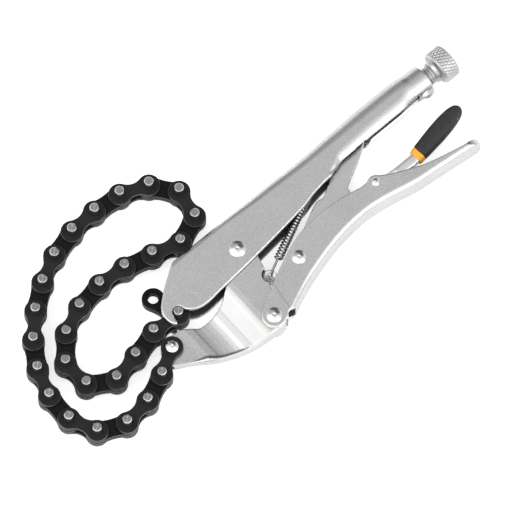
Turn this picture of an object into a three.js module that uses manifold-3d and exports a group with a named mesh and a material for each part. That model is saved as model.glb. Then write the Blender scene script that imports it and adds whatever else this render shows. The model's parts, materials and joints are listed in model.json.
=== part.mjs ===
// A locking chain clamp lying on its side, its chain hooked back into a closed loop.
// Millimetres, +Z up, +X along the adjusting screw towards its knob. The group's origin
// is the middle of the lowest level that the clamp lies on. Inside the group every place
// is measured from the main pivot, at half the thickness of the clamp.
import * as THREE from "three";
import { mergeVertices } from "three/addons/utils/BufferGeometryUtils.js";
import Module from "manifold-3d";

// Fits
const fit = 0.3; // running gap round a pin or between sliding faces
const overrun = 2; // how far a cutting body runs past what it cuts
const weld = 1e-4; // vertices closer than this are one

// Chain
const pitch = 15.875;
const linkCount = 29; // links between the chain rivet and the hooked pin
const pinRadius = 2.5;
const pinLength = 20;
const pinSides = 8;
const outerPlateRadius = 6.1;
const outerPlateThickness = 1.8;
const innerPlateRadius = 6.5;
const innerPlateThickness = 1.8;
const innerLinkThickness = 4.4;
const bushRadius = 4.2;
const outerWaistShare = 0.56; // of the plate's radius, at the middle of the link
const innerWaistShare = 0.86;
const chainRivetRadius = 3.4;
// The direction of each link, counted from the chain rivet, as the loop lies
const headings = [
  210, 202, 188, 155, 115, 89, 72, 58, 46, 37, 28, 16, 4, -4, -21, -52, -99, -157, -195,
  -193, -183, -170, -155, -131, -88, -30, 12, 14, -4,
];
const endLinkHeading = 104;

// Sheet metal frame, which is also the fixed handle
const frameWidth = 16.5;
const sheet = 2.5;
const frameTop = 17.2; // top of the web above the main pivot
const hookWidth = 5; // metal in front of the hooked pin
const hookHang = 4.6; // how far the hook reaches below the pin
const bellyDrop = 11.9; // lowest point of the frame's front edge
const webStart = 17.4; // the web starts this far in front of the main pivot
const webRadius = 3;
const mainRivetRadius = 4.5;
const mainShankRadius = 3.5;
const headHeight = 1.45;
const screwHeight = 9.5; // screw axis above the main pivot
const tubeRadius = 9.6;
const tubeStart = 10; // the tube is fully round this far behind the link's end
const neckLength = 8;
const collarRadius = 8.3;
const collarLength = 6;
const slotWidth = 3.4;
const tubeLength = 35; // round tube between the end of the taper and the neck

// Lower jaw
const jawWidth = frameWidth - 2 * sheet - 2 * fit;
const jawSheet = 2.3;
const jawReach = 59.1; // from the main pivot forward to the chain rivet
const jawDrop = 17.1;
const hookSetback = 14.1; // the hooked pin lies this far behind the chain rivet
const hookRise = 11.3; // and this far above it
const hookReach = jawReach - hookSetback; // from the main pivot forward to the hooked pin
const hookDrop = jawDrop - hookRise;
const heelBack = 9.4; // handle rivet, forward of the main pivot
const heelDrop = 39.5;
const heelRadius = 6.8;
const pivotLugRadius = 8.2;
const tongueRadius = 5.9;
const tabRadius = 4;
const tabHoleRadius = 1.25;
const tabThickness = 2.2;
const tabBack = 4.2; // hole of the spring tab, behind the main pivot
const tabDrop = 20.3;
const jawRound = 2.6;

// Lower handle
const handleSheet = 2.5;
const handleWidth = jawWidth + 2 * (handleSheet + fit);
const handleLength = 143.4; // from the handle rivet to the tip
const handleRise = 26.3; // highest point of the edge above the handle rivet
const handleLugRadius = 6.5;
const handleRound = 3.2;
const handleRivetRadius = 4.2;
const handleShankRadius = 3;
const webSetback = 10.5; // the handle's web starts this far behind the handle rivet
const reliefRadius = 3.4;

// Toggle link and its rivet
const armLength = 34; // handle rivet to link rivet
const armAngle = 27.1;
const linkLength = 71.4; // link rivet to the centre of the rounded end
const linkAngle = 26.2;
const linkThickness = 4;
const linkEndRadius = 6;
const linkHubRadius = 6.4;
const linkRivetRadius = 3.8;
const linkShankRadius = 2.8;
const screwGap = 1.9; // play between the link's end and the screw

// Release lever with its dipped grip
const leverShare = 0.6046; // of the handle's length, from the handle rivet to the lever rivet
const leverRise = 20.5;
const leverThickness = 3.6;
const leverBossRadius = 4.3;
const leverRivetRadius = 2.3;
const leverShankRadius = 1.6;
const leverHubRadius = 3.9;
const leverNose = 9; // from the lever rivet forward to the end of the nose
const shankLength = 26.4; // from the lever rivet back to the band
const shankWidth = 5.8;
const bandLength = 3.7;
const gripLength = 32.6;
const gripWidth = 10.2;
const gripThickness = 8;
const gripAngle = 9.7;
const gripSkin = 1;
const gripOvalPower = 0.7; // 1 is an oval, less is squarer
const gripSides = 14;

// Adjusting screw
const screwRadius = 5.3;
const screwShow = 5; // thread seen between the frame and the knob
const knobRadius = 9.2;
const knobLength = 8.4;
const knobNeck = 3.4;
const knobChamfer = 0.9;
const screwSides = 22;

// Return spring
const wireRadius = 0.45;
const coilRadius = 1.95; // to the centre of the wire
const coilPitch = 1.75;
const stepsPerCurl = 8;
const wireSides = 5;
const anchorBack = 62; // spring anchor behind the main pivot
const anchorRise = 7;
const anchorWidth = 6.4;
const leadIn = 11; // straight wire between the tab and the first curl
const leadOut = 6;

const wasm = await Module();
wasm.setup();

const degrees = (angle) => (angle * Math.PI) / 180;
const point = (x, y) => new THREE.Vector2(x, y);
const along = (from, length, angle) =>
  point(
    from.x + length * Math.cos(degrees(angle)),
    from.y + length * Math.sin(degrees(angle)),
  );

// Places of the pivots
const halfFrame = frameWidth / 2;
const innerHalf = halfFrame - sheet;
const mainPivot = point(0, 0);
const hookedPin = point(-hookReach, -hookDrop);
const chainRivet = point(-jawReach, -jawDrop);
const handlePivot = point(-heelBack, -heelDrop);
const linkPivot = along(handlePivot, armLength, armAngle);
const linkEnd = along(linkPivot, linkLength, linkAngle);
const leverPivot = point(
  handlePivot.x + leverShare * handleLength,
  handlePivot.y + leverRise,
);
const springTab = point(tabBack, -tabDrop);
const springAnchor = point(anchorBack, anchorRise);
const roundStart = linkEnd.x + tubeStart;
const neckStart = roundStart + tubeLength - neckLength;
const frameEnd = neckStart + neckLength + collarLength;

// A closed geometry as a solid that can be joined and cut
function solidOf(geometry) {
  const bare = geometry.index ? geometry.toNonIndexed() : geometry.clone();
  bare.deleteAttribute("normal");
  bare.deleteAttribute("uv");
  const merged = mergeVertices(bare, weld);
  return new wasm.Manifold(
    new wasm.Mesh({
      numProp: 3,
      vertProperties: merged.attributes.position.array,
      triVerts: new Uint32Array(merged.index.array),
    }),
  );
}

function geometryOf(solid) {
  const mesh = solid.getMesh();
  const geometry = new THREE.BufferGeometry();
  geometry.setAttribute("position", new THREE.BufferAttribute(mesh.vertProperties, 3));
  geometry.setIndex(new THREE.BufferAttribute(mesh.triVerts, 1));
  return geometry;
}

const joined = (solids) => solids.reduce((sum, next) => sum.add(next));
const without = (solid, cuts) => cuts.reduce((rest, cut) => rest.subtract(cut), solid);

// Points of an arc, both ends included
function arc(centre, radius, from, to, steps) {
  return Array.from({ length: steps + 1 }, (_, i) =>
    along(centre, radius, from + ((to - from) * i) / steps),
  );
}

// A smooth line through a few points
const smooth = (points, steps) => new THREE.SplineCurve(points).getPoints(steps);

// Points written as shares of a length and a height
const scaled = (shares, origin, length, height) =>
  shares.map(([x, y]) => point(origin.x + x * length, origin.y + y * height));

const shifted = (points, x, y) => points.map((p) => point(p.x + x, p.y + y));

// A flat plate between two levels, with its outline's edges rounded if asked
function plate(points, low, high, round = 0, roundSteps = 3) {
  const geometry = new THREE.ExtrudeGeometry(new THREE.Shape(points), {
    depth: high - low - 2 * round,
    bevelEnabled: round > 0,
    bevelThickness: round,
    bevelSize: round,
    bevelOffset: -round,
    bevelSegments: roundSteps,
    curveSegments: 1,
  });
  return solidOf(geometry.translate(0, 0, low + round));
}

// A plate that is seen from above in its X and Z, and runs along Y
function slab(points, low, high) {
  const geometry = new THREE.ExtrudeGeometry(new THREE.Shape(points), {
    depth: high - low,
    bevelEnabled: false,
  });
  return solidOf(geometry.translate(0, 0, -high).rotateX(Math.PI / 2));
}

function disc(centre, radius, low, high, sides = 16) {
  const geometry = new THREE.CylinderGeometry(radius, radius, high - low, sides);
  geometry.rotateX(Math.PI / 2);
  return solidOf(geometry.translate(centre.x, centre.y, (low + high) / 2));
}

function box(xLow, xHigh, yLow, yHigh, zLow, zHigh) {
  const geometry = new THREE.BoxGeometry(xHigh - xLow, yHigh - yLow, zHigh - zLow);
  return solidOf(
    geometry.translate((xLow + xHigh) / 2, (yLow + yHigh) / 2, (zLow + zHigh) / 2),
  );
}

// A skin over closed rings of equal count, with a flat cap on each end
function skin(rings) {
  const count = rings[0].length;
  const positions = rings.flat().flatMap((p) => [p.x, p.y, p.z]);
  const faces = [];
  for (let ring = 0; ring + 1 < rings.length; ring++) {
    for (let i = 0; i < count; i++) {
      const a = ring * count + i;
      const b = ring * count + ((i + 1) % count);
      faces.push(a, b, b + count, a, b + count, a + count);
    }
  }
  const last = (rings.length - 1) * count;
  for (let i = 1; i + 1 < count; i++) {
    faces.push(0, i + 1, i);
    faces.push(last, last + i, last + i + 1);
  }
  const geometry = new THREE.BufferGeometry();
  geometry.setAttribute("position", new THREE.Float32BufferAttribute(positions, 3));
  geometry.setIndex(faces);
  return geometry;
}

// A rounded rectangle across the X axis
function section(x, low, high, half, lowRound, highRound) {
  const corner = (y, z, radius, from) =>
    arc(point(y, z), radius, from, from + 90, 4).map(
      (p) => new THREE.Vector3(x, p.x, p.y),
    );
  return [
    ...corner(high - highRound, half - highRound, highRound, 0),
    ...corner(low + lowRound, half - lowRound, lowRound, 90),
    ...corner(low + lowRound, lowRound - half, lowRound, 180),
    ...corner(high - highRound, highRound - half, highRound, 270),
  ];
}

// A rivet across the clamp, with a low dome on each end
function rivet(centre, headRadius, shankRadius, seat) {
  const crown = seat + headHeight;
  const dome = (side) => [
    point(headRadius, side * seat),
    point(headRadius, side * (seat + 0.25 * headHeight)),
    point(0.86 * headRadius, side * (seat + 0.68 * headHeight)),
    point(0.5 * headRadius, side * crown),
  ];
  const profile = [
    point(0, -crown),
    ...dome(-1).reverse(),
    point(shankRadius, -seat),
    point(shankRadius, seat),
    ...dome(1),
    point(0, crown),
  ];
  const geometry = new THREE.LatheGeometry(profile, 14);
  geometry.rotateX(Math.PI / 2);
  return geometry.translate(centre.x, centre.y, 0);
}

// Outline of one chain plate, from the pin at zero to the pin one pitch further on
function linkOutline(radius, waistShare) {
  const start = point(0, 0);
  const end = point(pitch, 0);
  const waist = waistShare * radius;
  const neckShares = [0.4, 0.6]; // of the pitch
  return [
    ...arc(end, radius, -60, 60, 4),
    ...neckShares.map((share) => point((1 - share) * pitch, waist)),
    ...arc(start, radius, 120, 240, 4),
    ...neckShares.map((share) => point(share * pitch, -waist)),
  ];
}

// Two outer plates held by two long pins
function outerLink(withPins) {
  const low = innerLinkThickness / 2 + fit;
  const high = low + outerPlateThickness;
  const outline = linkOutline(outerPlateRadius, outerWaistShare);
  const pins = withPins.map((x) =>
    disc(point(x, 0), pinRadius, -pinLength / 2, pinLength / 2, pinSides),
  );
  const plates = joined([plate(outline, low, high), plate(outline, -high, -low), ...pins]);
  const bore = disc(point(0, 0), pinRadius + fit, -pinLength, pinLength, pinSides);
  return geometryOf(withPins.includes(0) ? plates : plates.subtract(bore));
}

// Two inner plates held by two bushes
function innerLink() {
  const high = innerLinkThickness / 2;
  const low = high - innerPlateThickness;
  const outline = linkOutline(innerPlateRadius, innerWaistShare);
  const ends = [0, pitch].map((x) => point(x, 0));
  const parts = [plate(outline, low, high), plate(outline, -high, -low)];
  const bushes = ends.map((end) => disc(end, bushRadius, -high + fit, high - fit, pinSides));
  const bores = ends.map((end) => disc(end, pinRadius + fit, -pitch, pitch, pinSides));
  return geometryOf(without(joined([...parts, ...bushes]), bores));
}

// The chain's route: the chosen headings, bent a little so that the last pin lands in the hook
function chainRoute() {
  const bend = (a, b) =>
    headings.map((heading, i) => {
      const share = i / (linkCount - 1);
      return heading + a * Math.sin(Math.PI * share) + b * Math.sin(2 * Math.PI * share);
    });
  const walk = (turns) =>
    turns.reduce((path, turn) => [...path, along(path[path.length - 1], pitch, turn)], [
      chainRivet,
    ]);
  const miss = (a, b) => walk(bend(a, b))[linkCount].clone().sub(hookedPin);
  let a = 0;
  let b = 0;
  const nudge = 0.01;
  for (let round = 0; round < 30; round++) {
    const here = miss(a, b);
    const byA = miss(a + nudge, b).sub(here).divideScalar(nudge);
    const byB = miss(a, b + nudge).sub(here).divideScalar(nudge);
    const area = byA.x * byB.y - byA.y * byB.x;
    a -= (here.x * byB.y - here.y * byB.x) / area;
    b -= (byA.x * here.y - byA.y * here.x) / area;
  }
  const turns = bend(a, b);
  return { turns, path: walk(turns) };
}

// Frame: two side plates under a web, closing behind to a slotted tube with a collar
function upperFrame() {
  const noseEdgeShares = [[0.645, 1], [0.885, 0.59], [1.02, 0.33], [1.12, 0.1]];
  const bellyShares = [
    [0.885, 0.75], [0.8, 0.93], [0.685, 1], [0.54, 0.97], [0.39, 0.91], [-0.14, 0.74],
  ];
  const rearShares = [[0.45, 0.44], [0.58, 0.23], [0.71, 0.09]]; // of the way to the link's end
  const outline = [
    ...scaled(noseEdgeShares, mainPivot, -hookReach, frameTop),
    point(hookedPin.x - pinRadius - hookWidth, hookedPin.y + hookWidth / 2),
    point(hookedPin.x - pinRadius - hookWidth, hookedPin.y - hookWidth / 5),
    point(hookedPin.x - pinRadius - hookWidth / 2, hookedPin.y - hookHang),
    point(hookedPin.x - pinRadius - hookWidth / 4, hookedPin.y - hookHang + hookWidth / 5),
    ...arc(hookedPin, pinRadius + fit, 180, 0, 6),
    ...scaled(bellyShares, mainPivot, -hookReach, -bellyDrop),
    ...scaled(rearShares, mainPivot, linkEnd.x, -bellyDrop),
    point(linkEnd.x, screwHeight - tubeRadius - overrun),
    point(frameEnd, screwHeight - tubeRadius - overrun),
    point(frameEnd, screwHeight + tubeRadius + overrun),
    point(-webStart, screwHeight + tubeRadius + overrun),
  ];
  const deep = -bellyDrop - overrun;
  const front = -hookReach - 2 * hookWidth;
  const bottom = screwHeight - tubeRadius;
  const shell = (grow) => {
    const half = halfFrame - grow;
    const round = tubeRadius - grow;
    const neck = collarRadius - grow;
    const web = Math.max(webRadius - grow, webRadius / 6);
    const flat = 0.5 * round; // corner of the section where the tube starts to close
    const open = grow > 0 ? overrun : 0;
    return skin([
      section(front - open, deep - open, frameTop - grow, half, web, web),
      section(0.5 * linkEnd.x, deep - open, frameTop - grow, half, web, web),
      section(0.72 * linkEnd.x, bottom + grow, frameTop - grow, half, flat, flat),
      section(roundStart, bottom + grow, screwHeight + round, half, half, half),
      section(neckStart, bottom + grow, screwHeight + round, half, half, half),
      section(neckStart + neckLength, screwHeight - neck, screwHeight + neck, neck, neck, neck),
      section(frameEnd + open, screwHeight - neck, screwHeight + neck, neck, neck, neck),
    ]);
  };
  const mouthEnd = linkEnd.x + linkEndRadius - overrun;
  const slotStart = mouthEnd + innerHalf;
  const slotEnd = neckStart + neckLength / 2;
  const mouth = slab(
    [
      point(front, -innerHalf),
      point(mouthEnd, -innerHalf),
      point(slotStart, -slotWidth / 2),
      point(slotEnd, -slotWidth / 2),
      point(slotEnd, slotWidth / 2),
      point(slotStart, slotWidth / 2),
      point(mouthEnd, innerHalf),
      point(front, innerHalf),
    ],
    deep,
    screwHeight,
  );
  const nose = box(front, -webStart, deep, frameTop + overrun, -innerHalf, innerHalf);
  const bore = disc(mainPivot, mainShankRadius + fit, -frameWidth, frameWidth);
  const whole = plate(outline, -frameWidth, frameWidth).intersect(solidOf(shell(0)));
  const shaped = without(whole, [solidOf(shell(sheet)), mouth, nose, bore]);
  return geometryOf(shaped.add(springLug()));
}

// A lug that hangs from the frame's web and holds the far end of the spring
function springLug() {
  const half = anchorWidth / 2;
  const top = frameTop - sheet / 2;
  const outline = [
    point(springAnchor.x + half, top),
    point(springAnchor.x - half, top),
    ...arc(springAnchor, half, 180, 360, 6),
  ];
  const lug = plate(outline, -tabThickness / 2, tabThickness / 2);
  return lug.subtract(disc(springAnchor, tabHoleRadius, -sheet, sheet, 10));
}

// Jaw: a channel with its web below, stepping in to a flat tongue that carries the chain
function lowerJaw() {
  const half = jawWidth / 2;
  const tongueHalf = innerLinkThickness / 2;
  const topShares = [[0.83, 0.27], [0.7, 0.4], [0.57, 0.405], [0.43, 0.36], [0.27, 0.21]];
  const heelShares = [[0.27, 0.985], [0.42, 0.98], [0.6, 0.94], [0.78, 0.835], [0.92, 0.7]];
  const bottomDrop = heelDrop + heelRadius;
  const top = smooth(scaled(topShares, mainPivot, -jawReach, -bottomDrop), 12);
  const web = smooth(scaled(heelShares, mainPivot, -jawReach, -bottomDrop), 12);
  const tongueEnd = [
    point(chainRivet.x - 0.75 * tongueRadius, chainRivet.y - 1.68 * tongueRadius),
    point(chainRivet.x - 1.12 * tongueRadius, chainRivet.y - 1.3 * tongueRadius),
    ...arc(chainRivet, tongueRadius, 185, 75, 5),
  ];
  const outline = [
    ...arc(mainPivot, pivotLugRadius, 150, -25, 7),
    point(springTab.x + tabRadius / 8, springTab.y + 1.15 * tabRadius),
    point(springTab.x - 0.9 * tabRadius, springTab.y - 1.2 * tabRadius),
    ...arc(handlePivot, heelRadius, 20, -90, 5),
    ...web,
    ...tongueEnd,
    ...top,
  ];
  const bendShares = [0.27, 0.46, 0.73, 0.8]; // of the reach, where the side walls bend
  const halves = [half, 0.33 * half + 0.67 * 1.45 * tongueHalf, 1.42 * tongueHalf, tongueHalf];
  const widths = (inset) => {
    const edge = bendShares.map((share, i) => point(-share * jawReach, halves[i] - inset));
    const line = [point(pivotLugRadius + overrun, half - inset), ...edge];
    const tip = inset > 0 ? [] : [point(-1.3 * jawReach, tongueHalf)];
    const side = [...line.slice(0, inset > 0 ? 4 : 5), ...tip];
    return [...side, ...side.map((p) => point(p.x, -p.y)).reverse()];
  };
  const raised = [
    point(pivotLugRadius + 2 * overrun, 2 * pivotLugRadius),
    point(pivotLugRadius + 2 * overrun, -bottomDrop),
    ...web,
    ...tongueEnd.slice(0, 2),
    point(-1.3 * jawReach, 2 * pivotLugRadius),
  ];
  const rounded = plate(raised, -half, half, jawRound);
  const webEnd = handlePivot.x - heelRadius / 2;
  const hollow = [
    point(pivotLugRadius + overrun, 2 * pivotLugRadius),
    point(pivotLugRadius + overrun, -2 * bottomDrop),
    point(webEnd, -2 * bottomDrop),
    point(webEnd, web[0].y + jawSheet),
    ...shifted(web, 0, jawSheet),
    point(-jawReach, 2 * pivotLugRadius),
  ];
  const across = (inset) => slab(widths(inset), -2 * bottomDrop, 2 * pivotLugRadius);
  const body = plate(outline, -half, half).intersect(rounded).intersect(across(0));
  const channel = plate(hollow, -half, half).intersect(across(jawSheet));
  const bores = [
    disc(mainPivot, mainShankRadius + fit, -half - fit, half + fit),
    disc(handlePivot, handleShankRadius + fit, -half - fit, half + fit),
    disc(chainRivet, pinRadius + fit, -half, half, pinSides),
  ];
  const tabLow = -tabThickness / 2;
  const cup = body.intersect(disc(springTab, tabRadius + jawSheet / 2, tabLow, half));
  const tab = disc(springTab, tabRadius, tabLow, tabThickness / 2);
  const dish = disc(springTab, tabRadius, tabThickness / 2, half + fit);
  const hole = disc(springTab, tabHoleRadius, -jawWidth, jawWidth, 10);
  const walls = without(body, [channel, ...bores]);
  return geometryOf(without(walls.add(cup).add(tab), [dish, hole]));
}

// Upper and lower edges of the moving handle, measured from the handle rivet
function handleEdges() {
  const topShares = [
    [0.025, 0.36], [0.095, 0.56], [0.155, 0.72], [0.215, 0.86], [0.275, 0.96], [0.335, 1],
    [0.44, 1], [0.52, 0.94],
  ];
  const rearShares = [[0.66, 0.75], [0.73, 0.58], [0.8, 0.42], [0.88, 0.315], [0.955, 0.24]];
  const webShares = [
    [0.01, -0.31], [0.07, -0.17], [0.15, 0.02], [0.23, 0.17], [0.36, 0.35], [0.48, 0.42],
    [0.58, 0.385], [0.72, 0.23], [0.8, 0.18], [0.9, 0.12], [0.975, 0.07],
  ];
  return {
    top: smooth(scaled(topShares, handlePivot, handleLength, handleRise), 12),
    rear: smooth(scaled(rearShares, handlePivot, handleLength, handleRise), 8),
    web: smooth(scaled(webShares, handlePivot, handleLength, handleRise), 20),
  };
}

// Handle: a channel open above, curving back to a rounded tip, with two ears at the jaw
function lowerHandle() {
  const half = handleWidth / 2;
  const inner = half - handleSheet;
  const { top, rear, web } = handleEdges();
  const webFront = handlePivot.x + webSetback;
  const behindRelief = web.filter((p) => p.x > webFront + reliefRadius);
  const tipRadius = 0.1 * handleRise;
  const tip = point(handlePivot.x + handleLength - tipRadius, handlePivot.y + 0.145 * handleRise);
  const outline = [
    ...arc(handlePivot, handleLugRadius, 130, 318, 8),
    point(webFront - reliefRadius, handlePivot.y - 0.7 * handleLugRadius),
    ...behindRelief,
    ...arc(tip, tipRadius, -70, 70, 4),
    ...[...rear].reverse(),
    ...arc(leverPivot, leverBossRadius, 35, 135, 5),
    ...[...top].reverse(),
  ];
  const raised = [
    point(handlePivot.x - 4 * handleLugRadius, handlePivot.y - 3.2 * handleLugRadius),
    ...web,
    point(tip.x + 4 * tipRadius, web[web.length - 1].y - tipRadius / 2),
    point(tip.x + 4 * tipRadius, handlePivot.y + 2 * handleRise),
    point(handlePivot.x - 4 * handleLugRadius, handlePivot.y + 2 * handleRise),
  ];
  const channelEnd = tip.x - tipRadius;
  const hollow = [
    point(handlePivot.x - 2 * handleLugRadius, handlePivot.y - 4 * handleLugRadius),
    point(webFront, handlePivot.y - 4 * handleLugRadius),
    ...shifted(web.filter((p) => p.x > webFront && p.x < channelEnd), 0, handleSheet),
    point(channelEnd, handlePivot.y + 2 * handleRise),
    point(handlePivot.x - 2 * handleLugRadius, handlePivot.y + 2 * handleRise),
  ];
  const front = handlePivot.x - 2 * handleLugRadius;
  const end = handlePivot.x + handleLength;
  const round = (depth) => [
    point(front, -depth),
    ...arc(point(end - half, 0), depth, -90, 90, 8),
    point(front, depth),
  ];
  const lowest = handlePivot.y - 4 * handleLugRadius;
  const highest = handlePivot.y + 2 * handleRise;
  const body = plate(outline, -half, half)
    .intersect(plate(raised, -half, half, handleRound))
    .intersect(slab(round(half), lowest, highest));
  const channel = plate(hollow, -half, half).intersect(slab(round(inner), lowest, highest));
  const bores = [
    [handlePivot, handleShankRadius],
    [linkPivot, linkShankRadius],
    [leverPivot, leverShankRadius],
  ].map(([place, radius]) => disc(place, radius + fit, -handleWidth, handleWidth));
  return geometryOf(without(body, [channel, ...bores]));
}

// Toggle link: a flat bar with a hub at its rivet and a rounded end that bears on the screw
function toggleLink() {
  const half = linkThickness / 2;
  const upperShares = [[0.84, 0.6], [0.6, 0.4], [0.52, 0.32], [0.45, 0.76], [0.2, 0.78]];
  const lowerShares = [[0.25, -1.4], [0.62, -1.66], [0.655, -1.3], [0.72, -1.16], [0.92, -1.1]];
  const home = point(0, 0);
  const outline = [
    ...arc(home, linkHubRadius, 110, 270, 6),
    ...scaled(lowerShares, home, linkLength, linkEndRadius),
    ...arc(point(linkLength, 0), linkEndRadius, -75, 100, 7),
    ...scaled(upperShares, home, linkLength, linkEndRadius),
  ];
  const hubHalf = handleWidth / 2 - handleSheet - fit;
  const bar = plate(outline, -half, half).add(disc(home, linkHubRadius, -hubHalf, hubHalf));
  const bore = disc(home, linkShankRadius + fit, -handleWidth, handleWidth);
  return geometryOf(bar.subtract(bore));
}

// Release lever: a nose, a hub and a flat shank that carries the dipped grip
function releaseLever() {
  const half = leverThickness / 2;
  const home = point(0, 0);
  const up = 0.22 * shankWidth;
  const down = up - shankWidth;
  const gripStart = point(shankLength, (up + down) / 2);
  const coreEnd = along(gripStart, bandLength + gripLength - 3 * gripSkin, gripAngle);
  const coreHalf = gripWidth / 2 - 2.2 * gripSkin;
  const outline = [
    point(-leverNose, -0.1 * leverNose),
    point(0, -leverHubRadius),
    point(0.4 * shankLength, 0.95 * down),
    point(0.8 * shankLength, down),
    along(gripStart, shankWidth / 2, gripAngle - 90),
    along(along(gripStart, 0.5 * gripLength, gripAngle), coreHalf, gripAngle - 90),
    ...arc(along(coreEnd, -coreHalf, gripAngle), coreHalf, gripAngle - 70, gripAngle + 70, 5),
    along(along(gripStart, 0.5 * gripLength, gripAngle), coreHalf, gripAngle + 90),
    along(gripStart, shankWidth / 2, gripAngle + 90),
    point(0.7 * shankLength, up),
    point(0.4 * shankLength, 1.4 * up),
    ...arc(home, leverHubRadius, 50, 130, 3),
    point(-leverNose, 0.3 * leverNose),
  ];
  const hubHalf = handleWidth / 2 - handleSheet - fit;
  const bar = plate(outline, -half, half).add(disc(home, leverHubRadius, -hubHalf, hubHalf));
  const bore = disc(home, leverShankRadius + fit, -handleWidth, handleWidth);
  return bar.subtract(bore);
}

// A skin round the lever's bar, between an oval and a box, its widths at shares of its length
const squared = (value) => Math.sign(value) * Math.abs(value) ** gripOvalPower;

function dip(start, length, widthShares) {
  const rings = widthShares.map(([share, width, thick]) => {
    const centre = along(start, share * length, gripAngle);
    const across = degrees(gripAngle + 90);
    return Array.from({ length: gripSides }, (_, i) => {
      const angle = (2 * Math.PI * i) / gripSides;
      const side = (width * gripWidth * squared(Math.cos(angle))) / 2;
      return new THREE.Vector3(
        centre.x + side * Math.cos(across),
        centre.y + side * Math.sin(across),
        (thick * gripThickness * squared(Math.sin(angle))) / 2,
      );
    });
  });
  return solidOf(skin(rings));
}

const leverGripStart = point(shankLength, -0.2 * shankWidth);

function leverGrip(bar) {
  const start = along(leverGripStart, bandLength, gripAngle);
  const shapeShares = [
    [0, 0.84, 0.86], [0.12, 0.88, 0.94], [0.4, 1, 1], [0.62, 0.99, 1], [0.82, 0.86, 0.92],
    [0.94, 0.58, 0.7], [1, 0.26, 0.36],
  ];
  return hollowed(dip(start, gripLength, shapeShares), bar);
}

function gripBand(bar) {
  const shapeShares = [[0, 0.79, 0.8], [0.5, 0.82, 0.83], [1, 0.84, 0.855]];
  return hollowed(dip(leverGripStart, bandLength - fit, shapeShares), bar);
}

// A skin with room for the bar inside, left open where the bar comes in
function hollowed(solid, bar) {
  const room = [-1, 1].flatMap((side) => [
    bar.translate(0, side * fit, side * fit),
    bar.translate(0, side * fit, -side * fit),
    bar.translate(side * fit, 0, side * fit),
    bar.translate(side * fit, 0, -side * fit),
  ]);
  return geometryOf(without(solid, room));
}

// Adjusting screw and its knob, turned about the screw axis
function adjustingScrew() {
  const tip = linkEnd.x + linkEndRadius + screwGap;
  const neck = frameEnd + screwShow;
  const knob = neck + knobNeck;
  const end = knob + knobLength;
  const profile = [
    point(0, tip),
    point(0.7 * screwRadius, tip),
    point(screwRadius, tip + 0.3 * screwRadius),
    point(screwRadius, neck),
    point(1.2 * screwRadius, neck),
    point(0.78 * knobRadius, neck + 0.6 * knobNeck),
    point(knobRadius - knobChamfer / 2, knob - knobChamfer / 2),
    point(knobRadius, knob),
    point(knobRadius, end - knobChamfer),
    point(knobRadius - knobChamfer, end),
    point(0, end),
  ];
  const geometry = new THREE.LatheGeometry(profile, screwSides);
  geometry.rotateZ(-Math.PI / 2);
  return geometry.translate(0, screwHeight, 0);
}

// The wire's path: through the tab, along the spring and round its curls, through the lug
function springPath() {
  const reach = springAnchor.clone().sub(springTab);
  const length = reach.length();
  const heading = reach.angle();
  const rise = tabThickness / 2 + fit + wireRadius;
  const place = (distance, side, height) =>
    new THREE.Vector3(
      springTab.x + distance * Math.cos(heading) - side * Math.sin(heading),
      springTab.y + distance * Math.sin(heading) + side * Math.cos(heading),
      height,
    );
  const curls = Math.floor((length - leadIn - leadOut) / coilPitch);
  const coilLength = curls * coilPitch;
  const hook = [
    [0, -rise - 2 * wireRadius],
    [0, -rise],
    [0, rise / 2],
    [1.5 * wireRadius, rise],
    [4 * wireRadius, coilRadius],
  ];
  const path = hook.map(([distance, height]) => place(distance, 0, height));
  path.push(place(leadIn - 2 * wireRadius, 0, coilRadius));
  for (let step = 0; step <= curls * stepsPerCurl; step++) {
    const turn = (2 * Math.PI * step) / stepsPerCurl;
    const distance = leadIn + (coilLength * step) / (curls * stepsPerCurl);
    path.push(place(distance, coilRadius * Math.sin(turn), coilRadius * Math.cos(turn)));
  }
  path.push(place(leadIn + coilLength + 2 * wireRadius, 0, coilRadius));
  [...hook].reverse().forEach(([distance, height]) => {
    path.push(place(length - distance, 0, height));
  });
  return path;
}

// A round wire along a path
function wire(path) {
  const tangents = path.map((p, i) =>
    path[Math.min(i + 1, path.length - 1)].clone().sub(path[Math.max(i - 1, 0)]).normalize(),
  );
  const side = new THREE.Vector3(0, 1, 0).cross(tangents[0]).normalize();
  const rings = path.map((p, i) => {
    side.sub(tangents[i].clone().multiplyScalar(side.dot(tangents[i]))).normalize();
    const other = tangents[i].clone().cross(side);
    return Array.from({ length: wireSides }, (_, k) => {
      const angle = (2 * Math.PI * k) / wireSides;
      return p
        .clone()
        .addScaledVector(side, wireRadius * Math.cos(angle))
        .addScaledVector(other, wireRadius * Math.sin(angle));
    });
  });
  return skin(rings);
}

// The least gap of the wire to itself, between points more than half a curl apart
function leastGap(path) {
  let least = Infinity;
  path.forEach((p, i) => {
    for (let k = i + stepsPerCurl / 2; k < path.length; k++) {
      least = Math.min(least, p.distanceTo(path[k]) - 2 * wireRadius);
    }
  });
  return least;
}

const finishes = {
  nickel: { color: 0xb9bab8, roughness: 0.38, metalness: 0.9 },
  bright: { color: 0xd8d8d6, roughness: 0.2, metalness: 1 },
  black: { color: 0x3c3c3e, roughness: 0.5, metalness: 0.6 },
  zinc: { color: 0xa6a7a6, roughness: 0.3, metalness: 1 },
  grip: { color: 0x1c1c1d, roughness: 0.75, metalness: 0 },
  band: { color: 0xf2a21c, roughness: 0.55, metalness: 0 },
};

const clamp = new THREE.Group();

function add(name, geometry, finish, place = mainPivot, turn = 0) {
  const mesh = new THREE.Mesh(geometry, new THREE.MeshStandardMaterial(finishes[finish]));
  mesh.name = name;
  mesh.position.set(place.x, place.y, 0);
  mesh.rotation.z = degrees(turn);
  mesh.geometry.computeVertexNormals();
  clamp.add(mesh);
}

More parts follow.
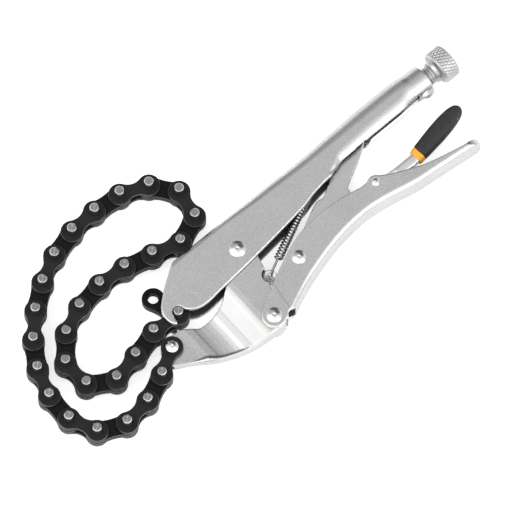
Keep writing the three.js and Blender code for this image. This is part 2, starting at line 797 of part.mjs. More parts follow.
const frameSeat = halfFrame + fit / 2;
const handleSeat = handleWidth / 2 + fit / 2;
const chainSeat = innerLinkThickness / 2 + fit + outerPlateThickness + fit / 2;
const lever = releaseLever();
const path = springPath();

add("upper_frame", upperFrame(), "nickel");
add("main_rivet", rivet(mainPivot, mainRivetRadius, mainShankRadius, frameSeat), "bright");
add("lower_jaw", lowerJaw(), "nickel");
add("handle_rivet", rivet(handlePivot, handleRivetRadius, handleShankRadius, handleSeat), "bright");
add("lower_handle", lowerHandle(), "nickel");
add("link_rivet", rivet(linkPivot, linkRivetRadius, linkShankRadius, handleSeat), "bright");
add("toggle_link", toggleLink(), "nickel", linkPivot, linkAngle);
add("lever_rivet", rivet(leverPivot, leverRivetRadius, leverShankRadius, handleSeat), "bright");
add("release_lever", geometryOf(lever), "nickel", leverPivot);
add("lever_grip", leverGrip(lever), "grip", leverPivot);
add("grip_band", gripBand(lever), "band", leverPivot);
add("adjusting_screw", adjustingScrew(), "bright");
add("return_spring", wire(path), "zinc");
add("chain_rivet", rivet(chainRivet, chainRivetRadius, pinRadius, chainSeat), "bright");

const route = chainRoute();
route.turns.forEach((turn, i) => {
  const number = String(i + 1).padStart(2, "0");
  const outer = i % 2 === 0;
  const shape = outer ? outerLink(i === 0 ? [pitch] : [0, pitch]) : innerLink();
  add("chain_link_" + number, shape, "black", route.path[i], turn);
});
add("chain_end_link", innerLink(), "black", hookedPin, endLinkHeading);

console.log("least gap of the spring to itself", leastGap(path).toFixed(2), "mm");

// The whole stands with the middle of its underside on the origin
const bounds = new THREE.Box3().setFromObject(clamp, true);
const middle = bounds.getCenter(new THREE.Vector3());
clamp.position.set(-middle.x, -middle.y, -bounds.min.z);
clamp.updateMatrixWorld(true);

export default clamp;
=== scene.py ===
import bmesh
import bpy
import json
import math
from mathutils import Matrix, Vector


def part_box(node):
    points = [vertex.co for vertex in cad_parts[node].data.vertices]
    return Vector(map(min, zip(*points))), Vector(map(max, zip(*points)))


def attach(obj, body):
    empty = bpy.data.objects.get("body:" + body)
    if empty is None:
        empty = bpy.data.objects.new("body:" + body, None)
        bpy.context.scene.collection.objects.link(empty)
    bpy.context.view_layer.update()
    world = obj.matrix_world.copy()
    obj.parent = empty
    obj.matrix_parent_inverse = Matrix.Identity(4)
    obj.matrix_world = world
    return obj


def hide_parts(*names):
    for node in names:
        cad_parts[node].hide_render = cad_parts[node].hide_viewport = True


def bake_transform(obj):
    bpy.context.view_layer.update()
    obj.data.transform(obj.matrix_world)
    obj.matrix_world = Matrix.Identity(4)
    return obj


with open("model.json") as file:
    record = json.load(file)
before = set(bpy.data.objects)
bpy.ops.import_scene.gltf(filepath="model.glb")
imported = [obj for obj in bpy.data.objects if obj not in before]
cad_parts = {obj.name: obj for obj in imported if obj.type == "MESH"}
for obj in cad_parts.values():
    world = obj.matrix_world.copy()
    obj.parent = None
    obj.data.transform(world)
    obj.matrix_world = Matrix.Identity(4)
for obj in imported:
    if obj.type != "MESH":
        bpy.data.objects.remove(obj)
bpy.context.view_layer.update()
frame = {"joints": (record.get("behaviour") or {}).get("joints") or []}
scene = bpy.context.scene

# Everything is modelled in millimetres from the main pivot, with x along the adjusting
# screw and z across the clamp, and is brought to metres when its piece is finished
mm = 0.001
pivots = {j["name"]: Vector(j["pos_m"]) for j in frame["joints"] if "pos_m" in j}
mainPivot = pivots["jaw_pivot"]
toMetres = Matrix.Translation(mainPivot) @ Matrix.Scale(mm, 4)


def inTool(jointName):
    p = (pivots[jointName] - mainPivot) / mm
    return (p.x, p.y)


handlePivot = inTool("handle_pivot")
linkPivot = inTool("toggle_pivot")
leverPivot = inTool("lever_pivot")
chainRivet = inTool("chain_hinge_01")
hookedPin = inTool("chain_end_hinge")


viewSet = {
    "turn": -41,
    "rise": 70,
    "aim": (6.89, -6.62, 0),
    "width": 262.56,  # of what the picture shows
    "lens": 1200,
    "sensor": 36,
    "clip": (0.1, 3),  # where sight starts, in metres, and ends, in camera distances
}


def addCamera(s):
    turn, rise = math.radians(s["turn"]), math.radians(s["rise"])
    back = Vector(
        (math.sin(turn) * math.cos(rise), -math.cos(turn) * math.cos(rise), math.sin(rise))
    )
    data = bpy.data.cameras.new("camera")
    data.sensor_width = s["sensor"]
    data.lens = s["lens"]
    distance = s["width"] * mm * s["lens"] / s["sensor"]
    data.clip_start, data.clip_end = s["clip"][0], s["clip"][1] * distance
    camera = bpy.data.objects.new("camera", data)
    camera.location = toMetres @ Vector(s["aim"]) + back * distance
    camera.rotation_euler = back.to_track_quat("Z", "Y").to_euler()
    scene.collection.objects.link(camera)
    scene.camera = camera


addCamera(viewSet)
scene.view_settings.view_transform = "Standard"

lightSet = {
    "level": 1.02,  # of the sky where nothing else is named
    "cards": [  # direction, cosine at the edge, cosine where it is full, level
        ((0.1, 0.97, 0.22), 0.8, 0.96, 1),
        ((0.2, 0.74, 0.64), 0.9, 0.975, 0.66),
        ((0.64, 0.7, 0.32), 0.86, 0.96, 0.14),
        ((0.22, -0.45, 0.87), 0.9, 0.975, 1.7),
        ((0.1, -0.86, 0.5), 0.8, 0.95, 2.4),
        ((-0.45, -0.55, 0.7), 0.8, 0.94, 1.5),
        ((-0.52, 0.12, 0.84), 0.8, 0.96, 3),
        ((0.62, 0.26, 0.74), 0.93, 0.985, 0.15),
        ((0.22, -0.975, 0.02), 0.975, 0.995, 0.3),
    ],
    "panels": [  # direction, distance, width, height, watts
        ((0.35, -0.8, 0.75), 0.75, 0.4, 0.3, 0.5),
    ],
    "floor": 1.6,  # half its width, in metres
    "floorColour": 0.86,
    "floorRoughness": 0.9,
    "floorSpecular": 0.1,
    "floorGlow": 0.62,  # added where the camera sees the floor
    "floorShine": 0.25,  # and where a polished surface does
}


def setInputs(node, values):
    for socket, value in values.items():
        node.inputs[socket].default_value = value


def addWorld(s):
    world = bpy.data.worlds.new("studio")
    scene.world = world
    world.use_nodes = True
    nodes, links = world.node_tree.nodes, world.node_tree.links
    nodes.clear()
    where = nodes.new("ShaderNodeTexCoord")
    level = nodes.new("ShaderNodeValue")
    level.outputs[0].default_value = s["level"]
    strength = level.outputs[0]
    for direction, edge, full, cardLevel in s["cards"]:
        dot = nodes.new("ShaderNodeVectorMath")
        dot.operation = "DOT_PRODUCT"
        dot.inputs[1].default_value = Vector(direction).normalized()
        spread = nodes.new("ShaderNodeMapRange")
        spread.interpolation_type = "SMOOTHSTEP"
        setInputs(spread, {"From Min": edge, "From Max": full})
        card = nodes.new("ShaderNodeMix")
        card.inputs[3].default_value = cardLevel
        links.new(where.outputs["Generated"], dot.inputs[0])
        links.new(dot.outputs["Value"], spread.inputs["Value"])
        links.new(spread.outputs["Result"], card.inputs["Factor"])
        links.new(strength, card.inputs[2])
        strength = card.outputs[0]
    sky = nodes.new("ShaderNodeBackground")
    white = nodes.new("ShaderNodeBackground")
    white.inputs["Color"].default_value = (1, 1, 1, 1)
    path = nodes.new("ShaderNodeLightPath")
    mix = nodes.new("ShaderNodeMixShader")
    out = nodes.new("ShaderNodeOutputWorld")
    links.new(strength, sky.inputs["Strength"])
    links.new(path.outputs["Is Camera Ray"], mix.inputs[0])
    links.new(sky.outputs[0], mix.inputs[1])
    links.new(white.outputs[0], mix.inputs[2])
    links.new(mix.outputs[0], out.inputs["Surface"])


def addPanels(s):
    for i, (direction, distance, width, height, watts) in enumerate(s["panels"]):
        light = bpy.data.lights.new(f"panel{i}", "AREA")
        light.shape = "RECTANGLE"
        light.size, light.size_y, light.energy = width, height, watts
        panel = bpy.data.objects.new(f"panel{i}", light)
        away = Vector(direction).normalized()
        panel.location = mainPivot + away * distance
        panel.rotation_euler = away.to_track_quat("Z", "Y").to_euler()
        scene.collection.objects.link(panel)


def addFloor(s):
    half = s["floor"]
    mesh = bpy.data.meshes.new("floor")
    corners = [(-half, -half, 0), (half, -half, 0), (half, half, 0), (-half, half, 0)]
    mesh.from_pydata(corners, [], [(0, 1, 2, 3)])
    floor = bpy.data.objects.new("floor", mesh)
    scene.collection.objects.link(floor)
    material = bpy.data.materials.new("floorPaper")
    material.use_nodes = True
    nodes, links = material.node_tree.nodes, material.node_tree.links
    surface = nodes["Principled BSDF"]
    setInputs(surface, {"Base Color": (*[s["floorColour"]] * 3, 1),
                        "Roughness": s["floorRoughness"],
                        "Specular IOR Level": s["floorSpecular"]})
    glow = nodes.new("ShaderNodeEmission")
    path = nodes.new("ShaderNodeLightPath")
    lift = nodes.new("ShaderNodeAddShader")
    strength = nodes.new("ShaderNodeMapRange")
    setInputs(strength, {"To Min": s["floorShine"], "To Max": s["floorGlow"]})
    seen = nodes.new("ShaderNodeMath")
    seen.operation = "MAXIMUM"
    mix = nodes.new("ShaderNodeMixShader")
    links.new(surface.outputs[0], lift.inputs[0])
    links.new(glow.outputs[0], lift.inputs[1])
    links.new(path.outputs["Is Camera Ray"], strength.inputs["Value"])
    links.new(strength.outputs["Result"], glow.inputs["Strength"])
    links.new(path.outputs["Is Camera Ray"], seen.inputs[0])
    links.new(path.outputs["Is Glossy Ray"], seen.inputs[1])
    links.new(seen.outputs[0], mix.inputs[0])
    links.new(surface.outputs[0], mix.inputs[1])
    links.new(lift.outputs[0], mix.inputs[2])
    links.new(mix.outputs[0], nodes["Material Output"].inputs["Surface"])
    mesh.materials.append(material)


addWorld(lightSet)
addPanels(lightSet)
addFloor(lightSet)
print("camera, light and floor are set")


def newGroup(name, inputs, outputs):
    group = bpy.data.node_groups.new(name, "ShaderNodeTree")
    for label, value in inputs:
        socket = group.interface.new_socket(label, in_out="INPUT", socket_type="NodeSocketFloat")
        socket.default_value = value
    for label in outputs:
        group.interface.new_socket(label, in_out="OUTPUT", socket_type="NodeSocketFloat")
    return group, group.nodes.new("NodeGroupInput"), group.nodes.new("NodeGroupOutput")


def grainGroup():  # a fine even grain, and a slow cloud over the whole piece
    group, given, made = newGroup(
        "surfaceGrain", [("Grain Scale", 2500), ("Cloud Scale", 60)], ["Grain", "Cloud"]
    )
    where = group.nodes.new("ShaderNodeTexCoord")
    for label, detail in (("Grain", 3), ("Cloud", 2)):
        noise = group.nodes.new("ShaderNodeTexNoise")
        noise.inputs["Detail"].default_value = detail
        group.links.new(where.outputs["Object"], noise.inputs["Vector"])
        group.links.new(given.outputs[label + " Scale"], noise.inputs["Scale"])
        group.links.new(noise.outputs["Fac"], made.inputs[label])
    return group


def edgeGroup():  # where a surface is convex, for wear and painted highlight, and where it is hollow, for painted shade
    group, given, made = newGroup("edgeMask", [("Reach", 0.06)], ["Edge", "Hollow"])
    shape = group.nodes.new("ShaderNodeNewGeometry")
    for label, sign in (("Edge", 1), ("Hollow", -1)):
        offset = group.nodes.new("ShaderNodeMath")
        offset.operation = "SUBTRACT"
        offset.inputs[1].default_value = 0.5  # what a flat surface gives
        scaled = group.nodes.new("ShaderNodeMath")
        scaled.operation = "DIVIDE"
        signed = group.nodes.new("ShaderNodeMath")
        signed.operation = "MULTIPLY"
        signed.inputs[1].default_value = sign
        signed.use_clamp = True
        group.links.new(shape.outputs["Pointiness"], offset.inputs[0])
        group.links.new(offset.outputs[0], scaled.inputs[0])
        group.links.new(given.outputs["Reach"], scaled.inputs[1])
        group.links.new(scaled.outputs[0], signed.inputs[0])
        group.links.new(signed.outputs[0], made.inputs[label])
    return group


surfaceGrain = grainGroup()
edgeMask = edgeGroup()
noiseSpan = (0.3, 0.7)  # nearly all of the noise lies between these


def finishOf(name, own):
    # a colour given as one number is a grey. The edge and hollow entry holds the colour of edges,
    # partly wear and partly painted highlight, the colour of hollows, which is painted shade, and
    # the bend at which either is full
    s = {**finishBase, **own}
    edgeWearAndSheen, hollowShade, reach = s["wearSheenAndShade"]
    material = bpy.data.materials.new(name)
    material.use_nodes = True
    nodes, links = material.node_tree.nodes, material.node_tree.links
    surface = nodes["Principled BSDF"]
    setInputs(surface, {"Metallic": s["metallic"], **s.get("plain", {})})
    grain = nodes.new("ShaderNodeGroup")
    grain.node_tree = surfaceGrain
    setInputs(grain, {"Grain Scale": s["grainScale"], "Cloud Scale": s["cloudScale"]})
    edge = nodes.new("ShaderNodeGroup")
    edge.node_tree = edgeMask
    setInputs(edge, {"Reach": reach})

    def mixed(factor, low, high):
        mix = nodes.new("ShaderNodeMix")
        mix.data_type = "RGBA"
        links.new(factor, mix.inputs["Factor"])
        for socket, value in ((mix.inputs[6], low), (mix.inputs[7], high)):
            if isinstance(value, bpy.types.NodeSocket):
                links.new(value, socket)
            else:
                socket.default_value = (*(value if isinstance(value, tuple) else [value] * 3), 1)
        return mix.outputs[2]

    def ranged(value, low, high):
        span = nodes.new("ShaderNodeMapRange")
        setInputs(span, {"From Min": noiseSpan[0], "From Max": noiseSpan[1],
                         "To Min": low, "To Max": high})
        links.new(value, span.inputs["Value"])
        return span.outputs["Result"]

    dark, light = s["colours"]
    both = nodes.new("ShaderNodeMath")
    both.operation = "ADD"
    links.new(ranged(grain.outputs["Grain"], 0, s["grainShare"]), both.inputs[0])
    links.new(ranged(grain.outputs["Cloud"], 0, 1 - s["grainShare"]), both.inputs[1])
    colour = mixed(both.outputs[0], dark, light)
    # edges turn lighter, partly as wear and partly as painted highlight, and hollows turn darker as
    # painted shade
    colour = mixed(edge.outputs["Edge"], colour, edgeWearAndSheen)
    colour = mixed(edge.outputs["Hollow"], colour, hollowShade)
    links.new(colour, surface.inputs["Base Color"])
    links.new(ranged(grain.outputs["Grain"], *s["roughness"]), surface.inputs["Roughness"])
    bump = nodes.new("ShaderNodeBump")
    setInputs(bump, {"Strength": s["bump"], "Distance": s["bumpDepth"] * mm})
    links.new(grain.outputs["Grain"], bump.inputs["Height"])
    links.new(bump.outputs["Normal"], surface.inputs["Normal"])
    return material


finishBase = {  # what a finish has where it names nothing else
    "metallic": 1,
    "grainShare": 0.5,  # of the grain in the colour, the rest is the cloud's
    "grainScale": 1500,
    "cloudScale": 150,
    "bumpDepth": 0.03,  # mm
}
# in each finish the edge colour is partly wear and partly painted highlight, and the hollow colour
# is painted shade
finishes = {
    "nickel": finishOf("satinNickel", {
        "colours": ((0.5, 0.5, 0.496), (0.66, 0.66, 0.655)), "roughness": (0.22, 0.34),
        "wearSheenAndShade": (0.85, 0.4, 0.1), "grainShare": 0.7, "cloudScale": 45, "bump": 0.2,
    }),
    "bright": finishOf("brightPlate", {
        "colours": ((0.68, 0.68, 0.67), (0.82, 0.82, 0.81)), "roughness": (0.12, 0.2),
        "wearSheenAndShade": (0.92, 0.25, 0.12), "grainShare": 0.4, "grainScale": 900, "bump": 0.08,
    }),
    "knurl": finishOf("cutSteel", {
        "colours": (0.42, 0.6), "roughness": (0.28, 0.4), "wearSheenAndShade": (0.95, 0.05, 0.14), "bump": 0.1,
    }),
    # a dark finish for the frame's inner faces and the coil's inner side, which is painted shade
    "inner": finishOf("innerShadeSheet", {
        "colours": (0.09, 0.16), "roughness": (0.4, 0.55), "wearSheenAndShade": (0.3, 0.01, 0.15),
        "metallic": 0.9, "cloudScale": 60, "bump": 0.2, "bumpDepth": 0.04,
    }),
    "black": finishOf("blackOxide", {
        "colours": ((0.004, 0.004, 0.0042), (0.009, 0.009, 0.0092)), "roughness": (0.4, 0.55),
        "wearSheenAndShade": (0.12, 0.004, 0.2), "metallic": 0.3, "grainScale": 1800, "cloudScale": 110,
        "bump": 0.2, "bumpDepth": 0.04, "plain": {"Specular IOR Level": 0.1},
    }),
    # the chain plates' rims are lighter, partly as wear and partly as painted highlight
    "wornEdgeSheen": finishOf("wornSheenPlateEdge", {
        "colours": (0.16, 0.42), "roughness": (0.3, 0.4), "wearSheenAndShade": (0.5, 0.05, 0.3),
        "metallic": 0.9, "grainShare": 0.3, "cloudScale": 160, "bump": 0.1,
    }),
    "pinEnd": finishOf("groundPinEnd", {
        "colours": (0.2, 0.32), "roughness": (0.35, 0.5), "wearSheenAndShade": (0.6, 0.1, 0.2),
        "metallic": 0.9, "grainShare": 0.6, "grainScale": 1800, "cloudScale": 200, "bump": 0.2,
        "bumpDepth": 0.04,
    }),
    "pinChamfer": finishOf("brightChamfer", {
        "colours": (0.62, 0.8), "roughness": (0.2, 0.3), "wearSheenAndShade": (0.85, 0.4, 0.3), "bump": 0.05,
    }),
    "wire": finishOf("springWire", {
        "colours": (0.5, 0.7), "roughness": (0.2, 0.3), "wearSheenAndShade": (0.8, 0.1, 0.8),
        "cloudScale": 200, "bump": 0.05, "bumpDepth": 0.02,
    }),
    "vinyl": finishOf("dippedVinyl", {
        "colours": ((0.006, 0.006, 0.0065), (0.03, 0.03, 0.031)), "roughness": (0.5, 0.68),
        "wearSheenAndShade": (0.04, 0.008, 0.2), "metallic": 0, "grainShare": 0.6, "grainScale": 420,
        "cloudScale": 120, "bump": 0.5, "bumpDepth": 0.2,
    }),
    "band": finishOf("bandVinyl", {
        "colours": ((0.93, 0.38, 0.015), (1, 0.46, 0.03)), "roughness": (0.4, 0.5),
        "wearSheenAndShade": ((0.97, 0.5, 0.06), (0.7, 0.22, 0.01), 0.25), "metallic": 0, "grainShare": 0.4,
        "grainScale": 900, "bump": 0.15, "bumpDepth": 0.06,
    }),
}
print("finishes are mixed")


def arc(centre, radius, start, end, steps):
    turns = [math.radians(start + (end - start) * i / steps) for i in range(steps + 1)]
    return [(centre[0] + radius * math.cos(t), centre[1] + radius * math.sin(t)) for t in turns]


def spline(points, steps):  # a smooth line through the points
    line = []
    ends = [points[0], *points, points[-1]]
    for i in range(len(points) - 1):
        a, b, c, d = (Vector(ends[i + k]) for k in range(4))
        for k in range(steps):
            t = k / steps
            line.append(tuple(
                0.5 * (2 * b + (c - a) * t + (2 * a - 5 * b + 4 * c - d) * t * t
                       + (3 * b - a - 3 * c + d) * t ** 3)
            ))
    return [*line, tuple(points[-1])]


def between(stations, x, smooth=True):  # a value at x, from a table of (x, value, ...)
    if x <= stations[0][0]:
        return stations[0][1:]
    for low, high in zip(stations, stations[1:]):
        if x <= high[0]:
            t = (x - low[0]) / (high[0] - low[0])
            t = t * t * (3 - 2 * t) if smooth else t
            return tuple(a + (b - a) * t for a, b in zip(low[1:], high[1:]))
    return stations[-1][1:]


far = 100  # mm, past the pieces in y, in z and in front, for what only cuts


def solid(verts, faces):
    mesh = bpy.data.meshes.new("part")
    mesh.from_pydata(verts, [], faces)
    shape = bmesh.new()
    shape.from_mesh(mesh)
    bmesh.ops.recalc_face_normals(shape, faces=shape.faces)
    shape.to_mesh(mesh)
    shape.free()
    made = bpy.data.objects.new("part", mesh)
    scene.collection.objects.link(made)
    return made


def plate(points, low, high):
    n = len(points)
    verts = [(x, y, low) for x, y in points] + [(x, y, high) for x, y in points]
    sides = [(i, (i + 1) % n, n + (i + 1) % n, n + i) for i in range(n)]
    return solid(verts, [tuple(range(n)), tuple(range(n, 2 * n)), *sides])


def slab(points, low, high):  # an outline in x and z, run along y
    made = plate(points, low, high)
    for vert in made.data.vertices:
        x, z, y = vert.co
        vert.co = (x, y, z)
    made.data.flip_normals()
    return made


def circle(centre, radius, sides):
    return arc(centre, radius, 0, 360 * (sides - 1) / sides, sides - 1)


def disc(centre, radius, low, high, sides=48):
    return plate(circle(centre, radius, sides), low, high)


def drill(centre, radius, sides=48):
    return disc(centre, radius, -far, far, sides)


def loft(rings):
    n = len(rings[0])
    verts = [p for ring in rings for p in ring]
    faces = [
        (k * n + i, k * n + (i + 1) % n, (k + 1) * n + (i + 1) % n, (k + 1) * n + i)
        for k in range(len(rings) - 1)
        for i in range(n)
    ]
    last = (len(rings) - 1) * n
    return solid(verts, [*faces, tuple(range(n)), tuple(range(last, last + n))])


def turns(sides):
    return [math.tau * i / sides for i in range(sides)]


def turned(profile, place, axis, sides):  # profile is (radius, height) from end to end
    rings = []
    for radius, height in profile:
        ring = []
        for t in turns(sides):
            a, b = radius * math.cos(t), radius * math.sin(t)
            ring.append((a, b, height) if axis == "z" else (height, a, b))
        rings.append([tuple(Vector(p) + Vector(place)) for p in ring])
    return loft(rings)


def channelRing(x, low, high, half, r, steps):
    # the section of a channel that is open above, with its lower corners rounded
    corner = [(x, a, b) for a, b in arc((low + r, half - r), r, 90, 180, steps)]
    other = [(x, a, -b) for _, a, b in reversed(corner)]
    return [(x, high, half), *corner, *other, (x, high, -half)]


def bake(obj):
    shape = bpy.data.meshes.new_from_object(
        obj.evaluated_get(bpy.context.evaluated_depsgraph_get())
    )
    old = obj.data
    obj.modifiers.clear()
    obj.data = shape
    bpy.data.meshes.remove(old)
    return obj


def combine(base, tools, operation):
    for tool in tools:
        cut = base.modifiers.new("cut", "BOOLEAN")
        cut.object, cut.operation, cut.solver = tool, operation, "MANIFOLD"
        bake(base)
        bpy.data.objects.remove(tool)
    return base


roundSet = {
    "soften": 0.5,
    "snapFull": 0.02,  # mm from a flat within which a point is put on it
    "snapReach": 0.08,  # and within which it is drawn to it
    "level": 0.99998,  # least upright normal of a face that counts as flat
    "sharpAngle": 18,  # degrees, from which the border of a flat is a sharp line
    "flatWeight": 80,
}


def rounded(obj, voxel, passes, flats, s=roundSet):
    # softens every edge, as pressed and plated sheet is, and leaves its flats flat
    remesh = obj.modifiers.new("remesh", "REMESH")
    remesh.mode, remesh.voxel_size = "VOXEL", voxel
    soften = obj.modifiers.new("soften", "SMOOTH")
    soften.factor, soften.iterations = s["soften"], passes
    bake(obj)
    shape = bmesh.new()
    shape.from_mesh(obj.data)
    for vert in shape.verts:
        for flat in flats:
            off = abs(vert.co.z) - flat
            if abs(off) < s["snapReach"]:
                spare = (abs(off) - s["snapFull"]) / (s["snapReach"] - s["snapFull"])
                off *= min(max(spare, 0), 1)
                vert.co.z = math.copysign(flat + off, vert.co.z)
    shape.normal_update()
    for edge in shape.edges:
        level = [abs(face.normal.z) > s["level"] for face in edge.link_faces]
        slight = edge.calc_face_angle(0) < math.radians(s["sharpAngle"])
        edge.smooth = slight or all(level) or not any(level)
    shape.to_mesh(obj.data)
    shape.free()
    even = obj.modifiers.new("evenNormals", "WEIGHTED_NORMAL")
    even.weight, even.keep_sharp = s["flatWeight"], True
    return obj


def finished(obj, name, body, slotName, looks, *replaced, matrix=toMetres, inside=None):
    # inside tells which faces, by their centre, wear the second look
    obj.data.polygons.foreach_set("use_smooth", [True] * len(obj.data.polygons))
    obj.data.update()
    obj.name = name
    obj.data.materials.clear()  # a cut can leave an empty slot
    for look in looks:
        obj.data.materials.append(finishes[look])
    picked = [int(inside(face.center)) if inside else 0 for face in obj.data.polygons]
    obj.data.polygons.foreach_set("material_index", picked)
    obj.data.transform(matrix)
    if body:
        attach(obj, body)
    if replaced:
        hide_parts(*replaced)
    return obj


boreSet = {"main": 3.8, "handle": 3.3, "link": 3.1, "lever": 1.9, "chain": 2.8}  # radii

frameSet = {
    "nose": [(-29, 17.2), (-39.8, 10.2), (-45.9, 5.7), (-50.2, 1.9), (-52.2, -1.6), (-52.6, -5),
             (-52, -8), (-50.3, -10.4)],
    "tip": [(-49.5, -10.2), (-48.9, -9.3), (-48.9, -8.3)],
    "notch": 2.8,
    "belly": [(-41.8, -6.6), (-39.8, -8.8), (-36, -11), (-30.8, -11.9), (-24.3, -11.5),
              (-17.6, -10.8), (6.3, -8.8), (38.2, -5.2), (49.2, -2.8), (60.3, -1.3), (72, -1.1)],
    "rear": [(85, -4), (140, -4), (140, 24)],
    "sheet": 2.5,
    "half": 8.25,
    # x, low, high, half, rounding below, rounding above
    "shell": [(-62, -14, 17.2, 8.25, 3, 2.6), (0, -14, 17.2, 8.25, 3, 3.2),
              (30, -14, 17.2, 8.25, 3, 5), (58, -14, 17.2, 8.25, 3, 6.2),
              (65, -0.1, 17.4, 8.25, 2.6, 6.4), (74, -0.1, 18, 8.25, 7, 7),
              (96, -0.1, 19, 8.25, 8.2, 8.2), (114, -0.1, 19, 8.25, 8.2, 8.2),
              (124, 1.9, 18.6, 8.25, 8.2, 8.2), (127, 1.6, 17.9, 8.2, 8.1, 8.1),
              (135.9, 1.5, 17.7, 8.1, 8.05, 8.05)],
    "slot": 4.3,
    "slotEnd": 127,
    "slotLip": (5.6, 1.9),  # where its rounded lip starts, and how far it opens per mm
    "mouthEnd": 89,
    "screwHeight": 9.5,
    "webStart": -17.4,
    "lobes": [(130.2, 2.1, 2.1), (132.8, 2, -2.2)],  # the folded corners behind the slot
    "lobe": [(0.2, -3.2), (1, -2.7), (1.5, -1.4), (1.65, 0), (1.5, 1.4), (1, 2.7), (0.2, 3.2)],
    "anchor": (62, 7),  # of the spring
    "anchorHalf": 3.2,
    "anchorThick": 2.2,
    "anchorHole": 1.25,
    "innerDepth": 0.85,  # share of the sheet at which a face counts as inner, and wears painted shade
}


def shellRing(x, grow, s, steps=10):
    low, high, half, roundLow, roundHigh = between(s["shell"], x)
    low, high, half = low + grow, high - grow, half - grow
    roundLow, roundHigh = (max(r - grow, 0.5) for r in (roundLow, roundHigh))
    ring = []
    for y, z, radius, start in (
        (high - roundHigh, half - roundHigh, roundHigh, 0),
        (low + roundLow, half - roundLow, roundLow, 90),
        (low + roundLow, roundLow - half, roundLow, 180),
        (high - roundHigh, roundHigh - half, roundHigh, 270),
    ):
        ring += [(x, a, b) for a, b in arc((y, z), radius, start, start + 90, steps)]
    return ring


def makeFrame(s):
    # closer together where the section changes
    places = [*range(-62, 50, 8), *range(50, 97, 2), 114, *range(115, 130), 135.9]
    outer = loft([shellRing(x, 0, s) for x in places])
    inner = loft([shellRing(x, s["sheet"], s) for x in (-64, *places[1:-1], 138)])  # open ends
    outline = [
        *spline(s["nose"], 4), *s["tip"],
        *arc(hookedPin, s["notch"], 180, 0, 20),
        *spline(s["belly"], 4), *s["rear"], (s["webStart"], s["rear"][-1][1]),
    ]
    whole = combine(plate(outline, -far, far), [outer], "INTERSECT")
    innerHalf = s["half"] - s["sheet"]
    mouth = slab([
        (-far, -innerHalf), (s["mouthEnd"], -innerHalf), (s["mouthEnd"] + innerHalf, -s["slot"]),
        (s["slotEnd"], -s["slot"]), (s["slotEnd"], s["slot"]),
        (s["mouthEnd"] + innerHalf, s["slot"]), (s["mouthEnd"], innerHalf), (-far, innerHalf),
    ], -far, s["screwHeight"])
    start, opens = s["slotLip"]
    lip = []
    for x in (s["mouthEnd"] - 2, 96, 114, s["slotEnd"]):
        middle = sum(between(s["shell"], x)[:2]) / 2
        top, low = middle - start, middle - 2 * start
        wide = s["slot"] + start / opens
        lip.append([(x, top, s["slot"]), (x, top, -s["slot"]), (x, low, -wide), (x, low, wide)])
    nose = slab([(-far, -innerHalf), (s["webStart"], -innerHalf), (s["webStart"], innerHalf),
                 (-far, innerHalf)], -far, far)
    cuts = [inner, mouth, loft(lip), nose, drill((0, 0), boreSet["main"])]
    combine(whole, cuts, "DIFFERENCE")
    lobes = [turned(s["lobe"], place, "x", 24) for place in s["lobes"]]
    under = s["shell"][0][2] - s["sheet"] / 2  # the middle of the frame's web
    x, half, thick = s["anchor"][0], s["anchorHalf"], s["anchorThick"] / 2
    lug = plate([(x + half, under), (x - half, under), *arc(s["anchor"], half, 180, 360, 16)],
                -thick, thick)
    combine(lug, [drill(s["anchor"], s["anchorHole"], 24)], "DIFFERENCE")
    combine(whole, [*lobes, lug], "UNION")
    return rounded(whole, voxel=0.4, passes=3, flats=[s["half"], innerHalf])


def insideFrame(place, s=frameSet):  # told by how far a face lies under the outer surface
    low, high, half, roundLow, roundHigh = between(s["shell"], place.x)
    middle = (low + high) / 2
    r = roundHigh if place.y > middle else roundLow
    a = abs(place.y - middle) - (high - middle - r)
    b = abs(place.z) - (half - r)
    depth = r - math.hypot(max(a, 0), max(b, 0)) - min(max(a, b), 0)
    return depth > s["innerDepth"] * s["sheet"]


# the frame's inner faces wear the dark finish, which is painted shade
finished(makeFrame(frameSet), "frame_shell", "frame", "nickel_plate",
         ["nickel", "inner"], "upper_frame", inside=insideFrame)
print("frame is pressed")


